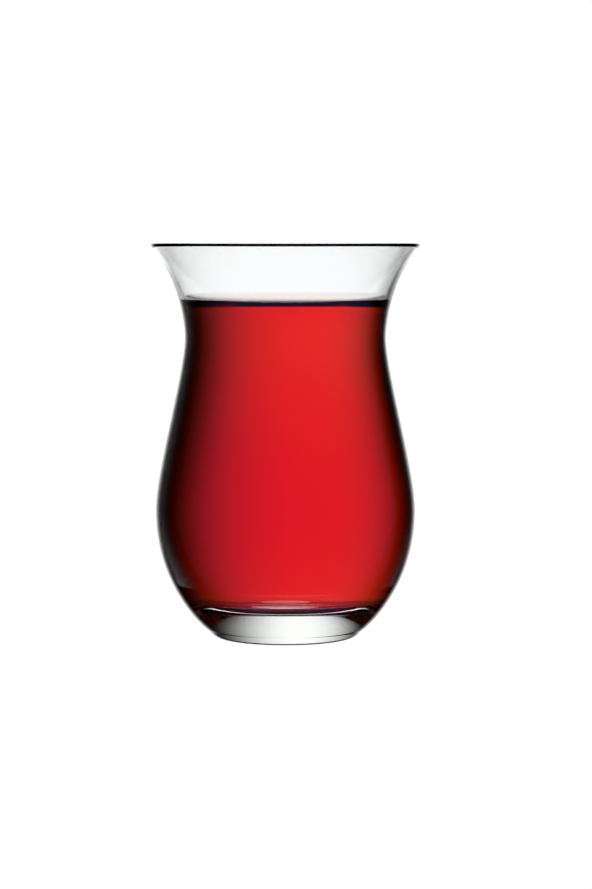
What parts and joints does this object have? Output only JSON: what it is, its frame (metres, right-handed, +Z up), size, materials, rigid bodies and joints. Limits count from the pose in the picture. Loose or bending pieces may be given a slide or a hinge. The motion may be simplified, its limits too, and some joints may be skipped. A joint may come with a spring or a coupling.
{
  "type": "tulip tea glass with tea",
  "caption": "Waisted tulip-shaped drinking glass with a flared lip and a thick clear foot, filled with red tea to just above the waist.",
  "frame": {"origin": "on the surface that the glass stands on, under the middle of its foot", "axes": "+Z up along the glass's axis, from foot to lip; the glass is round, so X and Y are equal"},
  "size_m": [0.059, 0.059, 0.087],
  "materials": {
    "glass": "clear soda-lime glass, smooth and fire-polished",
    "tea": "clear red tea with a smooth wet surface"
  },
  "bodies": {
    "root": {"glass": "glass", "tea": "tea"}
  },
  "joints": []
}
